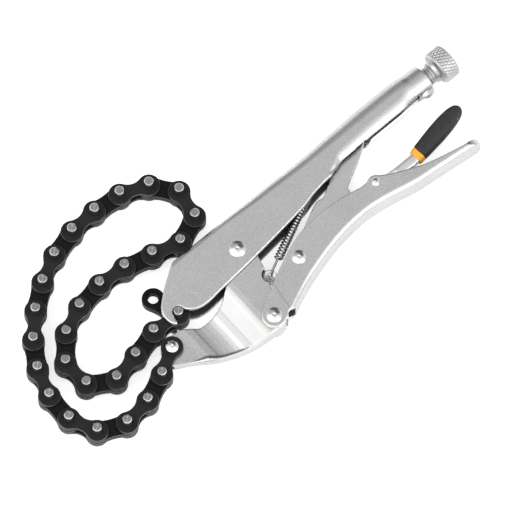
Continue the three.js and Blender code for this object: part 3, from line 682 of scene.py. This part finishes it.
jawSet = {
    "top": [(-49, -12.4), (-44.6, -15.6), (-41.4, -18.1), (-36, -18.7), (-32, -18.3),
            (-25.4, -16.5), (-20.9, -13.4), (-16, -9.6)],
    "web": [(-16, -45.5), (-25, -45.2), (-35.4, -43), (-46.2, -38.3), (-54.3, -32.3)],
    "webFront": [(14, -70), (-8, -60), (-11.5, -46.1)],  # past the heel
    "webRear": [(-63.4, -27), (-66, -25.4)],
    "corner": [(-63.4, -27), (-65.2, -26), (-65.6, -24.7)],
    "tongue": 5.9,
    "lug": 8.2,
    "heel": 6.45,
    "sheet": 2.3,
    # x, half the width: the tongue, the crease, the hollow part, the ridge and the joggle
    "widths": [(-78, 2.2), (-52, 2.2), (-49, 2.3), (-46.6, 2.42), (-45.6, 2.36), (-43.5, 2.08),
               (-41, 1.95), (-38, 1.98), (-35.5, 2.15), (-33, 2.48), (-31, 2.9), (-28.2, 3.56),
               (-27.9, 3.34), (-27.7, 3.34), (-19.5, 4.74), (-17.5, 5.12), (-15.5, 5.37),
               (-13.5, 5.45), (12, 5.45)],
    "slices": (-11, -0.5, 96),  # first x, step and count of the places where it changes
    "even": 0.3,  # how far the changes of width are evened out
    "thinnest": 0.5,
    "channelEnd": -38,
    "hollowFront": [(12, 17), (12, -38)],
    "hollowRear": (-59, 17),
    # x, y, half height, half width
    "keel": [(-30, -43.2, 1.2, 3.3), (-36, -41.2, 1.6, 2.9), (-42, -38.7, 1.7, 2.8),
             (-45, -37, 2, 3.1), (-47, -35.5, 2.3, 3.3), (-49, -33.9, 2.6, 3.3),
             (-51, -32.9, 2.1, 3), (-53.5, -31.5, 1.6, 2.6), (-57, -29.7, 1.1, 2.2),
             (-61, -27.3, 0.7, 1.5)],
    "cornerRound": 1.5,
    "spare": 0.02,  # by which the rounded section stands clear of the cut sides
    "side": 5.45,  # half the width over its flat sides
    "tab": (4.2, -20.3),  # which the spring pulls
    "tabSides": [(0.5, 4.6), (-3.6, -4.8)],  # from the tab
    "tabRadius": 4,
    "tabHalf": 1.1,
    "tabHole": 1.1,
    "cupWall": 1.15,
    "dish": [(1.2, 0.55), (2.6, 0.7), (3.5, 1.3), (4, 2.4), (4.1, 6)],
}


def makeJaw(s):
    web = spline(s["web"], 5)
    tab = s["tab"]
    outline = [
        *arc((0, 0), s["lug"], 150, -25, 20), *[(tab[0] + x, tab[1] + y) for x, y in s["tabSides"]],
        *arc(handlePivot, s["heel"], 20, -90, 16), *web,
        *s["corner"], *arc(chainRivet, s["tongue"], 185, 75, 14), *spline(s["top"], 4),
    ]

    def halfAt(x):
        near = [x + s["even"] * k for k in (-1, -0.5, 0, 0.5, 1)]
        return sum(between(s["widths"], n, smooth=False)[0] for n in near) / len(near)

    def across(inset, end):
        rear, front = s["widths"][0][0], s["widths"][-1][0]
        first, step, count = s["slices"]
        xs = [front, *[first + step * k for k in range(count)], rear]
        side = [(x, max(halfAt(x) - inset, s["thinnest"])) for x in xs if x > end]
        return slab([*side, *[(x, -z) for x, z in reversed(side)]], -far, far)

    rings = [channelRing(x, low, far, halfAt(x) + s["spare"], s["cornerRound"], 6)
             for x, low in [*s["webFront"], *web[::2], *s["webRear"]]]
    body = combine(plate(outline, -far, far), [across(0, -far), loft(rings)], "INTERSECT")
    hollow = plate([
        *s["hollowFront"], *arc(handlePivot, s["heel"] - s["sheet"], 10, -90, 12),
        *[(x, y + s["sheet"]) for x, y in web], s["hollowRear"],
    ], -far, far)
    channel = combine(hollow, [across(s["sheet"], s["channelEnd"])], "INTERSECT")
    keel = [[(x, y + tall * math.cos(t), wide * math.sin(t)) for t in turns(32)]
            for x, y, tall, wide in s["keel"]]
    cup = disc(tab, s["tabRadius"] + s["cupWall"], -s["tabHalf"], s["side"])
    cup = combine(cup, [plate(outline, -far, far)], "INTERSECT")
    combine(body, [channel], "DIFFERENCE")
    ear = disc(tab, s["tabRadius"], -s["tabHalf"], s["tabHalf"])
    combine(body, [cup, ear, loft(keel)], "UNION")
    cuts = [drill((0, 0), boreSet["main"]), drill(handlePivot, boreSet["handle"]),
            drill(chainRivet, boreSet["chain"]), turned(s["dish"], (*tab, 0), "z", 40),
            drill(tab, s["tabHole"], 24)]
    combine(body, cuts, "DIFFERENCE")
    return rounded(body, voxel=0.36, passes=3, flats=[s["side"]])


finished(makeJaw(jawSet), "jaw_channel", "lower_jaw", "nickel_plate", ["nickel"], "lower_jaw")
print("jaw is pressed")


handleSet = {  # measured from the handle rivet
    "top": [(3.6, 9.4), (8.8, 12.2), (13.8, 14.9), (22.2, 19), (31.5, 22.8), (38.4, 25),
            (46, 26.2), (54, 26.4), (63.2, 26.2), (73.6, 24.8), (79, 23.6)],
    "rear": [(94.6, 19.9), (104, 15.4), (113.9, 11.3), (126, 8.3), (136, 6.3)],
    "web": [(5, -7), (10, -4.6), (21.5, 0.5), (33, 4.5), (51.6, 9.2), (68.8, 11), (83.2, 10.1),
            (103.2, 6), (114.7, 4.7), (129, 3.1), (139.8, 1.8)],
    "webFront": [(-25, -21)],  # past the lug
    "webRear": [(147.8, 1.8)],
    "lug": 6.5,
    "half": 8.25,
    "sheet": 2.5,
    "length": 143.4,
    "hollowStart": 10.5,
    "hollowFront": -13,
    "hollowLow": -26,
    "hollowHigh": 60,
    "tip": (140.6, 3.9),
    "tipRadius": 2.7,
    "relief": (8.5, -6.1, 3.1),  # x, y and radius of the hole across its corner
    "boss": 4.3,
    "round": 3.4,
    "bend": 0.07,  # how much lower the side lies behind the bend line
    # measured from the main pivot, the bend line first
    "bent": [(2.2, -20), (-1.6, -48.4), (220, -48), (220, 60), (3, 60)],
}


def makeHandle(s):
    bx, by = handlePivot

    def at(points):
        return [(bx + x, by + y) for x, y in points]

    web = spline(at(s["web"]), 5)
    outline = [
        *arc(handlePivot, s["lug"], 130, 300, 22), *web[3:],
        *arc(at([s["tip"]])[0], s["tipRadius"], -75, 70, 12),
        *reversed(spline(at(s["rear"]), 4)), *arc(leverPivot, s["boss"], 35, 135, 12),
        *reversed(spline(at(s["top"]), 4)),
    ]
    half, inner = s["half"], s["half"] - s["sheet"]
    along = [*at(s["webFront"]), *web[::2], *at(s["webRear"])]
    rings = [channelRing(x, y, far, half, s["round"], 10) for x, y in along]
    end = bx + s["length"]

    def rounding(depth):
        return slab([(-far, -depth), *arc((end - half, 0), depth, -90, 90, 24),
                     (-far, depth)], -far, far)

    body = combine(plate(outline, -half, half), [loft(rings), rounding(half)], "INTERSECT")
    start, stop = bx + s["hollowStart"], bx + s["tip"][0] - s["tipRadius"]
    front, low, high = bx + s["hollowFront"], by + s["hollowLow"], by + s["hollowHigh"]
    hollow = plate([
        (front, low), (start, low), *[(x, y + s["sheet"]) for x, y in web if start < x < stop],
        (stop, high), (front, high),
    ], -far, far)
    channel = combine(hollow, [rounding(inner)], "INTERSECT")
    rx, ry, radius = s["relief"]
    cuts = [channel, drill((bx + rx, by + ry), radius), drill(handlePivot, boreSet["handle"]),
            drill(linkPivot, boreSet["link"]), drill(leverPivot, boreSet["lever"])]
    lower = half - s["bend"]
    cuts += [plate(s["bent"], lower, far), plate(s["bent"], -far, -lower)]
    combine(body, cuts, "DIFFERENCE")
    return rounded(body, voxel=0.38, passes=3, flats=[half, lower, inner])


finished(makeHandle(handleSet), "handle_channel", "lower_handle", "nickel_plate",
         ["nickel"], "lower_handle")
print("handle is pressed")


linkSet = {  # measured from its rivet, along the link
    "angle": 26.2,
    "length": 71.4,
    "end": 6,
    "half": 2,
    "hub": 6.4,
    "hubHalf": 5.45,
    "lower": [(8, -7.9), (17.9, -8.4), (31, -9.2), (44.3, -10), (46.8, -7.8),
              (51.4, -7), (61, -6.9), (65.7, -6.6)],
    "upper": [(60, 3.6), (42.8, 2.4), (37.1, 2), (32.1, 4.5), (14.3, 4.7)],
}


def hubbed(outline, s, bore):  # a flat bar with a thicker hub and its hole
    bar = plate(outline, -s["half"], s["half"])
    combine(bar, [disc((0, 0), s["hub"], -s["hubHalf"], s["hubHalf"])], "UNION")
    return combine(bar, [drill((0, 0), bore)], "DIFFERENCE")


def makeLink(s):
    outline = [
        *arc((0, 0), s["hub"], 110, 262, 16), *spline(s["lower"], 3),
        *arc((s["length"], 0), s["end"], -75, 100, 16), *spline(s["upper"], 3),
    ]
    bar = hubbed(outline, s, boreSet["link"])
    return rounded(bar, voxel=0.36, passes=2, flats=[s["half"], s["hubHalf"]])


turnLink = (Matrix.Translation((*linkPivot, 0))
            @ Matrix.Rotation(math.radians(linkSet["angle"]), 4, "Z"))
finished(makeLink(linkSet), "link_bar", "toggle_link", "nickel_plate", ["nickel"],
         "toggle_link", matrix=toMetres @ turnLink)

leverSet = {  # measured from the lever's rivet
    "half": 1.8,
    "hub": 3.9,
    "hubHalf": 5.45,
    "below": [(0.5, -3.9), (10.6, -4.3), (18, -4.5), (24, -4.5)],
    "above": [(24, 1.3), (18.5, 1.25), (10.6, 1.6), (4.5, 2.4)],
    "nose": [(-9, 2.7), (-9.3, 0.6), (-9, -0.9)],
    "crown": 0.5,  # share by which its middle is thicker than its edges
    "crownStart": 8,
    "crownRun": 6,
    "crownMiddle": -1.5,
    "crownHalf": 3.1,
    "coreEnd": (56.6, 2.2),  # of the steel inside the grip
    "coreHalf": 2.2,
    "coreNose": 1.6,
    "angle": 9.7,
    "bandStart": (26.4, -1.16),
    "bandLength": 3.4,
    "gripStart": 3.6,
    "gripLength": 32.6,
    "width": 10.2,
    "thick": 8,
}


def makeLever(s):
    endX, endY = s["coreEnd"]
    outline = [
        *s["nose"], *spline(s["below"], 3), (endX, endY - s["coreHalf"]),
        (endX + s["coreNose"], endY), (endX, endY + s["coreHalf"]),
        *spline(s["above"], 3), *arc((0, 0), s["hub"], 50, 130, 8),
    ]
    bar = rounded(hubbed(outline, s, boreSet["lever"]), voxel=0.3, passes=2, flats=[s["half"]])
    for vert in bar.data.vertices:  # the shank is crowned
        x, y, z = vert.co
        part = (y - s["crownMiddle"]) / s["crownHalf"]
        if x > s["crownStart"] and abs(part) < 1:
            share = min(1, (x - s["crownStart"]) / s["crownRun"])
            vert.co.z = z * (1 + s["crown"] * share * math.sqrt(1 - part * part))
    return bar


atLever = toMetres @ Matrix.Translation((*leverPivot, 0))
finished(makeLever(leverSet), "lever_bar", "release_lever", "bright_plate",
         ["bright"], "release_lever", matrix=atLever)
print("link and lever are cut")


gripSet = {
    # share of the length, then width and thickness as shares of the grip's
    "grip": [(0, 0.84, 0.86), (0.03, 0.875, 0.9), (0.2, 0.93, 0.96), (0.4, 0.99, 1),
             (0.62, 0.98, 0.99), (0.76, 0.91, 0.94), (0.86, 0.8, 0.86), (0.93, 0.65, 0.74),
             (0.975, 0.44, 0.55), (1, 0.12, 0.2)],
    "band": [(0, 0.76, 0.78), (0.12, 0.8, 0.81), (0.5, 0.82, 0.835), (0.9, 0.835, 0.85),
             (1, 0.8, 0.82)],
    "lean": 0.4,  # mm by which the band's edges lean along the lever
    "bow": 0.48,  # and bow
    "power": 0.74,  # under 1 the section is squarer than an ellipse
    "rings": 56,
    "sides": 64,
}


def makeDip(s, lever, table, start, length, rings):
    turn = math.radians(lever["angle"])
    x0, y0 = lever["bandStart"]
    along = Vector((math.cos(turn), math.sin(turn), 0))
    side = Vector((-math.sin(turn), math.cos(turn), 0))
    made = []
    for k in range(rings + 1):
        share = k / rings
        width, thick = between(table, share, smooth=False)
        ring = []
        for t in turns(s["sides"]):
            c, d = math.cos(t), math.sin(t)
            a = math.copysign(abs(c) ** s["power"], c) * width * lever["width"] / 2
            b = math.copysign(abs(d) ** s["power"], d) * thick * lever["thick"] / 2
            lean = (s["lean"] * c - s["bow"] * d * d) * (1 - share if start > 0 else 1)
            ring.append(tuple(Vector((x0, y0, b)) + along * (start + share * length + lean)
                              + side * a))
        made.append(ring)
    return loft(made)


band = makeDip(gripSet, leverSet, gripSet["band"], 0, leverSet["bandLength"], 10)
finished(band, "band_sleeve", "release_lever", "band_vinyl", ["band"], "grip_band",
         matrix=atLever)
grip = makeDip(gripSet, leverSet, gripSet["grip"], leverSet["gripStart"],
               leverSet["gripLength"], gripSet["rings"])
finished(grip, "grip_sleeve", "release_lever", "dipped_vinyl", ["vinyl"],
         "lever_grip", matrix=atLever)
print("grip is dipped")


screwSet = {
    "height": frameSet["screwHeight"],
    "tip": 92.83,
    "neck": 140.93,
    "radius": 5.3,
    "depth": 0.75,
    "threadPitch": 1.6,
    "flank": 1.5,  # slope of the thread's sides
    "crest": 0.25,
    "tipShare": 0.72,
    "collar": [(1.3, 1.5), (-0.3, 4.2), (-0.3, 5.7), (0, 6.1), (1.2, 6.3), (2, 6.9), (2.3, 7.6),
               (2.4, 8.1), (2.7, 8.6), (3.2, 8.95)],  # from the neck: x, radius
    # from the knob's end: x, how much under the knob's radius, share of the knurl
    "face": [(-0.55, 0.4, 0.4), (-0.15, 0.85, 0), (0, 1.2, 0), (0, 3, 0), (-0.1, 3.3, 0),
             (-0.1, 8.2, 0)],
    "rim": (0.1, 0.2),  # the same two at the knob's start
    "knurlStart": 0.15,  # from the knob's
    "knobStart": 144.33,
    "knobEnd": 152.73,
    "knobRadius": 9.2,
    "knurlCount": 28,
    "knurlDepth": 0.38,
    "knurlLean": 0.62,
    "knurlSharp": 1.7,
    "chamfer": 0.9,
}


def makeThread(s, sides=48, perTurn=10):
    steps = int((s["neck"] - s["tip"]) / s["threadPitch"] * perTurn)
    rings = []
    for k in range(steps + 1):
        x = s["tip"] + (s["neck"] - s["tip"]) * k / steps
        lead = min(1, (x - s["tip"]) / s["threadPitch"])
        ring = []
        for t in turns(sides):
            phase = (x / s["threadPitch"] + t / math.tau) % 1
            groove = min(1, max(0, s["flank"] * abs(2 * phase - 1) - s["crest"]))
            taper = s["tipShare"] + (1 - s["tipShare"]) * lead
            radius = (s["radius"] - s["depth"] * groove) * taper
            ring.append((x, s["height"] + radius * math.cos(t), radius * math.sin(t)))
        rings.append(ring)
    return loft(rings)


def makeKnob(s, sides=408, steps=56):
    start, end, big = s["knobStart"], s["knobEnd"], s["knobRadius"]
    first, last = start + s["knurlStart"], end - s["chamfer"]
    rows = [(s["neck"] + x, radius, 0) for x, radius in s["collar"]]
    rows.append((start, big - s["rim"][0], s["rim"][1]))
    rows += [(first + (last - first) * k / steps, big, 1) for k in range(steps + 1)]
    rows += [(end + x, big - under, knurl) for x, under, knurl in s["face"]]
    rings = []
    for x, radius, knurl in rows:
        ring = []
        for t in turns(sides):
            run = s["knurlCount"] * t / 2
            climb = s["knurlCount"] * s["knurlLean"] * (x - start) / big / 2
            ridges = min(abs(math.sin(run + climb)), abs(math.sin(run - climb)))
            r = radius - knurl * s["knurlDepth"] * (1 - min(1, s["knurlSharp"] * ridges))
            ring.append((x, s["height"] + r * math.cos(t), r * math.sin(t)))
        rings.append(ring)
    return loft(rings)


finished(makeThread(screwSet), "screw_thread", "adjusting_screw", "bright_plate", ["knurl"])
finished(makeKnob(screwSet), "screw_knob", "adjusting_screw", "bright_plate",
         ["knurl"], "adjusting_screw")
print("screw is cut and its knob is knurled")


rivetSet = {  # node: place, head radius, shank radius, seat, body
    "main_rivet": ((0, 0), 4.5, 3.5, 8.4, "frame"),
    "handle_rivet": (handlePivot, 4.2, 3, 8.4, "lower_handle"),
    "link_rivet": (linkPivot, 3.8, 2.8, 8.4, "lower_handle"),
    "lever_rivet": (leverPivot, 2.3, 1.6, 8.4, "lower_handle"),
    "chain_rivet": (chainRivet, 3.4, 2.5, 4.45, "lower_jaw"),
}
domeSet = {
    "height": 1.42,
    # share of the head's radius, share of its height
    "dome": [(0.97, 0), (1, 0.08), (1, 0.2), (0.975, 0.31), (0.92, 0.42), (0.84, 0.53),
             (0.73, 0.66), (0.6, 0.79), (0.46, 0.9), (0.32, 0.97), (0.2, 1), (0.13, 0.97),
             (0.08, 0.86), (0.02, 0.8)],
}


def makeRivet(place, head, shank, seat, s):
    dome = [(head * r, seat + s["height"] * h) for r, h in s["dome"]]
    profile = [(r, -h) for r, h in reversed(dome)] + [(shank, -seat), (shank, seat)] + dome
    return turned(profile, (*place, 0), "z", 56)


for node, (place, head, shank, seat, body) in rivetSet.items():
    made = makeRivet(place, head, shank, seat, domeSet)
    finished(made, node + "_domed", body, "bright_plate", ["bright"], node)
print("rivets are set")


springSet = {
    "tab": jawSet["tab"],
    "anchor": frameSet["anchor"],
    "wire": 0.66,
    "coil": 1.75,
    "coilPitch": 1.75,
    "shadeStart": 0.05,  # how far inside the wire's middle line its painted shade starts
    "leadIn": 11,
    "leadOut": 6,
    "bend": 0.9,
    # each end from its hole, how far along the spring and how high, up to the straight wire
    "hook": [(0, -2.55), (0, -1.85), (0, 0.9), (0.3, 1.55), (0.9, 1.9), (1.8, 1.75)],
    "straight": (4, 7),
}


def springPath(s, perTurn=20):
    run = Vector(s["anchor"]) - Vector(s["tab"])
    along = Vector((*run.normalized(), 0))
    side = Vector((-along.y, along.x, 0))
    start = Vector((*s["tab"], 0))

    def place(d, across, high):
        return start + along * d + side * across + Vector((0, 0, high))

    curls = int((run.length - s["leadIn"] - s["leadOut"]) / s["coilPitch"])
    length = curls * s["coilPitch"]
    path = [place(d, 0, h) for d, h in s["hook"]]
    path += [place(d, 0, s["coil"]) for d in (*s["straight"], s["leadIn"] - s["bend"])]
    for k in range(curls * perTurn + 1):
        t = math.tau * k / perTurn
        path.append(place(s["leadIn"] + length * k / (curls * perTurn),
                          s["coil"] * math.sin(t), s["coil"] * math.cos(t)))
    path.append(place(s["leadIn"] + length + s["bend"], 0, s["coil"]))
    path += [place(run.length - d, 0, h) for d, h in reversed(s["hook"])]
    return path


def makeWire(path, radius, sides=10):
    rings = []
    side = Vector((0, 1, 0))
    for i, p in enumerate(path):
        tangent = (path[min(i + 1, len(path) - 1)] - path[max(i - 1, 0)]).normalized()
        side = (side - tangent * side.dot(tangent)).normalized()
        other = tangent.cross(side)
        rings.append([tuple(p + radius * (math.cos(t) * side + math.sin(t) * other))
                      for t in turns(sides)])
    return loft(rings)


def insideCoil(place, s=springSet):  # the side of the wire that faces the spring's own axis
    run = Vector(s["anchor"]) - Vector(s["tab"])
    there = place.xy - Vector(s["tab"])
    along = there.dot(run.normalized())
    across = math.sqrt(max(there.length_squared - along * along, 0))
    return (s["leadIn"] < along < run.length - s["leadOut"]
            and math.hypot(across, place.z) < s["coil"] - s["shadeStart"])


# the side of the coil that faces its axis wears the dark finish, as painted shade
spring = finished(makeWire(springPath(springSet), springSet["wire"]), "spring_coil", None,
                  "spring_steel", ["wire", "inner"], "return_spring",
                  inside=insideCoil)
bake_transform(spring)
print("spring is wound")


chainSet = {
    "pitch": 15.875,
    "links": 29,
    "outer": {"radius": 5.85, "waist": 0.57, "low": 2.5, "high": 4.3},
    "inner": {"radius": 5.92, "waist": 0.82, "low": 0.42, "high": 2.2},
    "bevel": 0.28,
    "pin": 2.5,
    "pinHalf": 10,
    "pinChamfer": 0.42,
    # inside the chamfer: how much under its radius, and how far below the pin's end
    "pinRim": [(0, 0.04), (0.06, 0.02), (0.5, 0.02)],
    "pinDish": 0.1,
    "bush": 4.2,
    "bushHalf": 1.9,
    "bushInner": 3.1,
    "bushBevel": 0.2,
    "bore": 2.8,
    "sharpAngle": 50,
    "finishes": ("black", "wornEdgeSheen", "pinEnd", "pinChamfer"),  # in the order of the slots
}


def linkOutline(pitch, radius, waist, steps=26):
    # round ends, joined by a hollow arc on each side that meets them without a corner
    dip = radius * (1 - waist)
    centre = (pitch * pitch / 4 - dip * dip) / (2 * dip)
    bow = centre - waist * radius
    meet = math.degrees(math.atan2(centre, pitch / 2))
    half = [*arc((pitch, 0), radius, meet - 180, 180 - meet, steps),
            *arc((pitch / 2, centre), bow, -meet, meet - 180, 12)[1:-1]]
    return half + [(pitch - x, -y) for x, y in half]


def joined(shape, rings, slots):  # faces from ring to ring, with the material slot of each band
    n = len(rings[0])
    for k in range(len(rings) - 1):
        for i in range(n):
            j = (i + 1) % n
            face = shape.faces.new((rings[k][i], rings[k][j], rings[k + 1][j], rings[k + 1][i]))
            face.material_index = slots.get(k, 0)
    return rings


def outlinePlate(points, low, high, bevel, bore, borePlaces, shape):
    # a plate with a rounded rim, its holes, and the rim as the second material
    n = len(points)
    inward = []
    for i in range(n):
        a, b = Vector(points[i - 1]), Vector(points[(i + 1) % n])
        d = (b - a).normalized()
        inward.append(Vector((-d.y, d.x)))
    part = 0.3 * bevel  # close to a round
    levels = [(bevel, low), (part, low + part), (0, low + bevel),
              (0, high - bevel), (part, high - part), (bevel, high)]
    rings = joined(shape, [
        [shape.verts.new((*(Vector(p) + d * inset), z)) for p, d in zip(points, inward)]
        for inset, z in levels
    ], {1: 1, 3: 1})
    for ring, z in ((rings[0], low), (rings[-1], high)):
        edges = [shape.edges.get((ring[i], ring[(i + 1) % n])) for i in range(n)]
        for place in borePlaces:
            hole = [shape.verts.new((x, y, z)) for x, y in circle((place, 0), bore, 24)]
            edges += [shape.edges.new((hole[i - 1], hole[i])) for i in range(len(hole))]
        bmesh.ops.triangle_fill(shape, use_beauty=True, use_dissolve=False, edges=edges)


def turnedInto(shape, profile, x, sides, slots={}):
    return joined(shape, [
        [shape.verts.new((x + radius * math.cos(t), radius * math.sin(t), height))
         for t in turns(sides)] for radius, height in profile
    ], slots)


def platePair(s, part, openEnds):
    shape = bmesh.new()
    points = linkOutline(s["pitch"], part["radius"], part["waist"])
    for low, high in ((part["low"], part["high"]), (-part["high"], -part["low"])):
        outlinePlate(points, low, high, s["bevel"], s["bore"], openEnds, shape)
    return shape


def outerLinkMesh(s, pins, openEnds):
    shape = platePair(s, s["outer"], openEnds)
    end, c, r = s["pinHalf"], s["pinChamfer"], s["pin"]
    half = [(r, 0), (r, end - c), *[(r - c - under, end - below) for under, below in s["pinRim"]],
            (0.02, end - s["pinDish"])]
    profile = [(a, -b) for a, b in reversed(half[1:])] + half
    slots = {0: 2, 1: 2, 2: 2, 3: 3, 6: 3, 7: 2, 8: 2, 9: 2}
    for x in pins:
        rings = turnedInto(shape, profile, x, 32, slots)
        for ring in (rings[0], rings[-1]):
            shape.faces.new(ring).material_index = 2
    return shape


def innerLinkMesh(s):
    ends = (0, s["pitch"])
    shape = platePair(s, s["inner"], ends)
    bore = [(s["bore"], -s["inner"]["high"]), (s["bore"], s["inner"]["high"])]
    b, h, inner, c = s["bush"], s["bushHalf"], s["bushInner"], s["bushBevel"]
    for x in ends:
        turnedInto(shape, bore, x, 24)
        turnedInto(shape, [(inner, -h), (b - c, -h), (b, c - h), (b, h - c), (b - c, h),
                           (inner, h)], x, 24)
    return shape


def chainMesh(s, shape, name):
    bmesh.ops.recalc_face_normals(shape, faces=shape.faces)
    mesh = bpy.data.meshes.new(name)
    shape.to_mesh(mesh)
    shape.free()
    mesh.transform(Matrix.Scale(mm, 4))
    mesh.polygons.foreach_set("use_smooth", [True] * len(mesh.polygons))
    mesh.set_sharp_from_angle(angle=math.radians(s["sharpAngle"]))
    for key in s["finishes"]:
        mesh.materials.append(finishes[key])
    return mesh


def layChain(s):
    pitch = s["pitch"]
    firstMesh = chainMesh(s, outerLinkMesh(s, [pitch], [0]), "first_link")
    outerMesh = chainMesh(s, outerLinkMesh(s, [0, pitch], []), "outer_link")
    innerMesh = chainMesh(s, innerLinkMesh(s), "inner_link")
    for i in range(1, s["links"] + 2):
        body = f"chain_link_{i:02d}" if i <= s["links"] else "chain_end_link"
        joint = f"chain_hinge_{i:02d}" if i <= s["links"] else "chain_end_hinge"
        here = pivots[joint]
        low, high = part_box(body)
        middle = (low + high) / 2
        turn = math.atan2(middle.y - here.y, middle.x - here.x)
        mesh = (firstMesh if i == 1 else (innerMesh, outerMesh)[i % 2]).copy()
        mesh.transform(Matrix.Translation(here) @ Matrix.Rotation(turn, 4, "Z"))
        link = bpy.data.objects.new(body + "_plates", mesh)
        scene.collection.objects.link(link)
        even = link.modifiers.new("evenNormals", "WEIGHTED_NORMAL")
        even.keep_sharp = True
        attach(link, body)
        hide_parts(body)


layChain(chainSet)
print("chain is laid")
